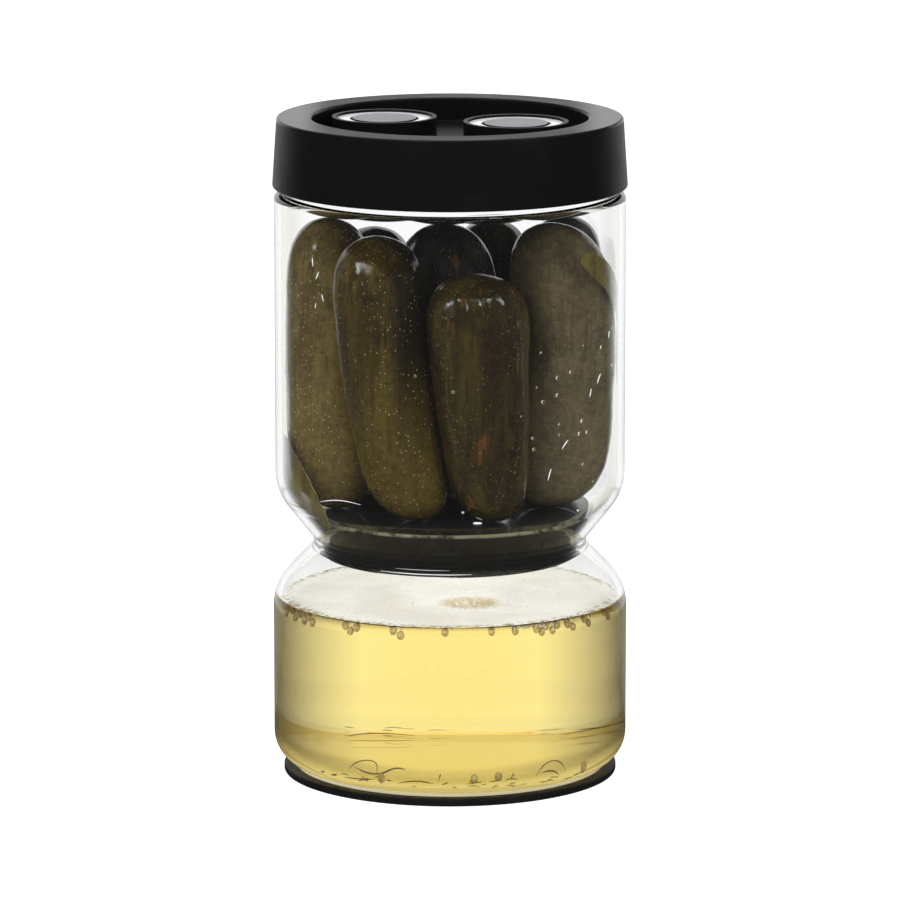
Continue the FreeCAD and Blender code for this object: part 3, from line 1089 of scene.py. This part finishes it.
DROPS = 34
DROPS_IN_FRONT = 20
drops = Small()
for k in range(DROPS):
    front = k < DROPS_IN_FRONT
    turn = chance.uniform(24, 70) if front else chance.uniform(-178, 178)
    z = chance.uniform(88, 132) if front else chance.uniform(84, 150)
    size = chance.uniform(0.22, 0.6)
    here = on_wall(turn, BORE_R - 0.05, z)
    drops.grain(COARSE_GRAIN, here, size, 0.12, k, Vector((here.x, here.y, 0)).normalized())
drops.make("wall_drops", make_drop_brine())

# the inside of the glass, from the mouth down
WALL_INSIDE = finer(rounded(jar_profile()), 1.0)
WALL_INSIDE = WALL_INSIDE[max(range(len(WALL_INSIDE)), key=lambda i: WALL_INSIDE[i].y):]


def inside_at(z):
    """The radius of the glass's inside at a height, in mm."""
    return min(WALL_INSIDE, key=lambda p: abs(p.y - z)).x


# fine pale marks on the inside of the wall, painted glints that glow by their own light
MARKS = (  # turn, height, slope in degrees, length, thickness
    (41.5, 100.4, 46, 3.2, 0.12), (35.0, 92.6, 72, 3.4, 0.13), (59.0, 117.0, 55, 3.0, 0.13),
    (54.0, 113.6, 70, 2.4, 0.12), (66.0, 128.5, 78, 2.0, 0.11), (-52.0, 150.5, 96, 2.4, 0.12),
    (-49.5, 147.0, 60, 2.6, 0.13), (-47.0, 141.0, 110, 2.0, 0.11), (-50.5, 138.5, 75, 1.6, 0.10),
    (-40.0, 84.0, 4, 15.0, 0.10), (130.0, 120.0, 65, 3.0, 0.13), (-140.0, 104.0, 50, 3.0, 0.13),
)
MARK_PARTS = 12
marks = Small()
for turn, z, slope, length, thickness in MARKS:
    path = []
    for k in range(MARK_PARTS + 1):
        way = (k / MARK_PARTS - 0.5) * length
        bow = 0.10 * length * math.sin(math.pi * k / MARK_PARTS) * 0.6
        up = way * math.sin(math.radians(slope)) + bow
        aside = math.degrees(way * math.cos(math.radians(slope)) / 47.0)
        path.append(on_wall(turn + aside, inside_at(z + up) - 0.22, z + up))
    marks.thread(path, thickness)
marks.make("wall_marks", make_speckled(
    "wall_painted_glint", (0.90, 0.90, 0.88), (0.70, 0.70, 0.66), 900.0, 0.3,
    Emission_Color=(0.55, 0.55, 0.54, 1), Emission_Strength=1.0))

# painted glints that glow by their own light: drops on the plate and fine lines on the front of its
# skirt
PLATE_DROPS = ((7.6, -28.5, 2.4), (3.6, -14.0, 0.7), (36.0, -12.0, 0.6))  # x, y, length
SKIRT_LINES = (  # height, from x, to x, thickness
    (62.2, -20, 2, 0.07), (63.2, -19, 6, 0.09), (64.4, -15, 0, 0.05))
SKIRT_PARTS = 24
glints = Small()
for x, y, size in PLATE_DROPS:
    path = [Vector((x + size * (k / 8 - 0.5), y, PLATE_Z + 0.12)) * MM for k in range(9)]
    glints.thread(path, 0.30, 8)
strainer_tree = tree_of("strainer")
for z, start, end, thickness in SKIRT_LINES:
    path = []
    for k in range(SKIRT_PARTS + 1):
        before = Vector((start + (end - start) * k / SKIRT_PARTS, -60, z)) * MM
        spot = strainer_tree.ray_cast(before, Vector((0, 1, 0)))[0]
        if spot is not None:
            path.append(spot + Vector((0, -0.06, 0)) * MM)
    if len(path) > 3:
        glints.thread(path, thickness, 8)
glints.make("plate_glints", make_speckled(
    "plate_painted_glint", (0.92, 0.92, 0.90), (0.80, 0.80, 0.78), 900.0, 0.1,
    Emission_Color=(0.7, 0.7, 0.7, 1), Emission_Strength=1.0))


# where gherkins press on the glass the brine is held as a film
def along(rail, share):
    """The spot at a share of a rail's way, on a smooth curve through its points."""
    way = share * (len(rail) - 1)
    k = min(int(way), len(rail) - 2)
    t = way - k
    before, here, there, after = (
        Vector(rail[min(max(i, 0), len(rail) - 1)]) for i in (k - 1, k, k + 1, k + 2))
    slope = there - before
    bend = 2 * before - 5 * here + 4 * there - after
    twist = 3 * here - before - 3 * there + after
    return 0.5 * (2 * here + slope * t + bend * t * t + twist * t ** 3)


def make_held_brine():
    mat, tree = new_material("held_brine")
    cloud = object_place(tree).stretched(1.0, 1.0, 0.4).noise(180.0, 3.0, 0.6)
    tone = cloud.between(0.35, 0.65)
    principled(
        tree, Base_Color=tone.colour((0.100, 0.076, 0.015), (0.158, 0.124, 0.030)),
        Roughness=0.08, Specular_IOR_Level=0.3, Alpha=cloud.between(0.3, 0.7, 0.82, 0.97),
    )
    return mat


RAILS = (  # each film's outer and inner side, as turns and heights
    (((-88, 99), (-92, 93), (-92, 87), (-90, 82), (-86, 78), (-76, 75)),
     ((-66, 99), (-58, 93), (-52, 87), (-48, 82), (-46, 78), (-46, 75))),
    (((47, 150), (54, 146), (64, 141), (72, 134), (78, 124), (82, 112)),
     ((52, 154), (62, 151), (72, 144), (80, 136), (87, 124), (87, 112))),
)
FILM_LONG = 40
FILM_WIDE = 14
films = Small()
edges = Small()
for outer, inner in RAILS:
    start = len(films.points)
    edge = []
    for i in range(FILM_LONG + 1):
        a = along(outer, i / FILM_LONG)
        b = along(inner, i / FILM_LONG)
        ends = math.sin(math.pi * (0.04 + 0.92 * i / FILM_LONG)) ** 0.35
        ragged = 0.10 * noise.noise(Vector((i * 0.21, outer[0][0], 0)))
        middle = (a + b) / 2
        a = middle + (a - middle) * ends
        b = middle + (b - middle) * (ends + ragged)
        for j in range(FILM_WIDE + 1):
            spot = a.lerp(b, j / FILM_WIDE)
            films.points.append(on_wall(spot.x, inside_at(spot.y) - 0.25, spot.y))
        edge.append(on_wall(b.x, inside_at(b.y) - 0.3, b.y))
    for i in range(FILM_LONG):
        for j in range(FILM_WIDE):
            n = start + i * (FILM_WIDE + 1) + j
            films.faces.append((n, n + 1, n + FILM_WIDE + 2, n + FILM_WIDE + 1))
    edges.thread(edge, 0.06)
films.make("held_brine_films", make_held_brine())
edges.make("held_brine_edges", make_speckled(
    "film_edge", (0.40, 0.38, 0.28), (0.18, 0.16, 0.09), 260.0, 0.15, Specular_IOR_Level=0.5))


# ------------------------------------------------------------ camera and light
DISTANCE = 1.8
ELEVATION = math.radians(10.9)
AIM_Z = 0.09196
DARK_ROOM = 0.08  # least level that a gloss mirrors
ROOM_LIGHT = 0.60  # what the world gives as light
OVERHEAD = 1.6
SATIN_SPOTS = (((-0.45, -0.52, 0.72), 11.0), ((0.50, -0.30, 0.81), 10.0))
FLOOR_SIZE = 4.0
FLOOR_THROUGH = 1.12  # the floor's level as glass shows it
LAMPS = (  # place, the height aimed at, width, length, power
    ("key", (-0.55, -0.95, 0.75), 0.10, 0.35, 0.5, 6.0),
    ("fill", (0.7, -0.9, 0.45), 0.10, 0.4, 0.6, 3.0),
    ("top", (0.0, 0.25, 0.95), 0.15, 0.6, 0.4, 4.5),
)


def look_from_front():
    data = bpy.data.cameras.new("camera")
    data.lens = 254.9
    data.sensor_width = 36.0
    data.clip_end = 20.0
    camera = bpy.data.objects.new("camera", data)
    scene.collection.objects.link(camera)
    camera.location = (
        0, -DISTANCE * math.cos(ELEVATION), AIM_Z + DISTANCE * math.sin(ELEVATION))
    camera.rotation_euler = (math.pi / 2 - ELEVATION, 0, 0)
    scene.camera = camera


def soft_lamp(name, place, aim_z, width, length, power):
    data = bpy.data.lights.new(name, "AREA")
    data.shape = "RECTANGLE"
    data.size = width
    data.size_y = length
    data.energy = power
    lamp = bpy.data.objects.new(name, data)
    scene.collection.objects.link(lamp)
    lamp.location = place
    aim = Vector((0, 0, aim_z)) - Vector(place)
    lamp.rotation_euler = aim.to_track_quat("-Z", "Y").to_euler()
    lamp.visible_camera = False
    lamp.visible_glossy = False
    lamp.visible_transmission = False


def was_mirrored(rays):
    """1 for what a gloss or the front glass mirrors, 0 for what is seen through,
    with the level of the light that goes on nearly straight."""
    plain = (rays["Is Glossy Ray"] - rays["Is Transmission Ray"]).larger(0.0)
    bounced = rays["Glossy Depth"].over(0.5) * rays["Transmission Depth"].under(2.5)
    either = plain.larger(bounced) * (1.0 - rays["Is Diffuse Ray"])
    return either, 1.08 - plain * 0.2


def make_surroundings():
    """A white room for the eye and for glass. Gloss mirrors its bright far
    side, a bright ceiling, and for satin surfaces two bright spots."""
    world = bpy.data.worlds.new("studio")
    scene.world = world
    world.use_nodes = True
    tree = world.node_tree
    tree.nodes.clear()
    rays = light_path(tree)
    way = Value(add(tree, "TexCoord").outputs["Generated"])
    _, y, z = way.axes()
    mirrored, ahead = was_mirrored(rays)
    gloss = (y.between(0.50, 0.84) * ahead.larger(0.9)).larger(DARK_ROOM)
    gloss = gloss.larger(z.between(0.88, 0.97, 0.0, OVERHEAD))
    satin = satin_rays(rays)
    for at, power in SATIN_SPOTS:
        near = way.distance(Vector(at).normalized())
        gloss = gloss + near.between(0.16, 0.03, 0.0, power) * satin
    seen = rays["Is Camera Ray"].larger(rays["Is Transmission Ray"])
    level = mirrored.blend(seen.blend(ROOM_LIGHT, 1.0), gloss)
    back = add(tree, "Background", Color=(1.0, 1.0, 1.0), Strength=level)
    add(tree, "OutputWorld", Surface=back.outputs[0])


def make_floor():
    """A pale floor that keeps the jar's shadow. Glass shows it white, and a
    gloss mirrors it bright only behind the jar and dark close to its foot."""
    mesh = bpy.data.meshes.new("floor")
    corners = [(x * FLOOR_SIZE, y * FLOOR_SIZE, 0) for x, y in ((-1, -1), (1, -1), (1, 1), (-1, 1))]
    mesh.from_pydata(corners, [], [(0, 1, 2, 3)])
    floor = bpy.data.objects.new("floor", mesh)
    scene.collection.objects.link(floor)
    mat, tree = new_material("pale_floor")
    rays = light_path(tree)
    place = object_place(tree)
    cloth = add(tree, "BsdfDiffuse", Color=(0.62, 0.62, 0.62))
    glow = add(tree, "Emission", Strength=rays["Is Camera Ray"] * 0.80)
    both = add(tree, "AddShader", cloth.outputs[0], glow.outputs[0])
    x, y, _ = place.axes()
    aside = abs(x).maths("DIVIDE", y.larger(0.02))
    was, ahead = was_mirrored(rays)
    mirrored = aside.between(1.6, 0.6) * y.over(0.0) * ahead
    near = place.length().between(0.24, 0.34, 0.30, 1.0)
    slope = Value(add(tree, "NewGeometry").outputs["Incoming"]).axes()[2]
    mirrored = (mirrored * near.larger(slope.between(0.22, 0.32))).larger(DARK_ROOM)
    plain = add(tree, "Emission", Strength=was.blend(FLOOR_THROUGH, mirrored))
    indirect = rays["Is Glossy Ray"].larger(rays["Is Transmission Ray"])
    whole = add(tree, "MixShader", indirect, both.outputs[0], plain.outputs[0])
    add(tree, "OutputMaterial", Surface=whole.outputs[0])
    mesh.materials.append(mat)
    floor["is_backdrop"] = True


make_surroundings()
make_floor()
for lamp in LAMPS:
    soft_lamp(*lamp)
look_from_front()

scene.view_settings.view_transform = "Standard"
low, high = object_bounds()
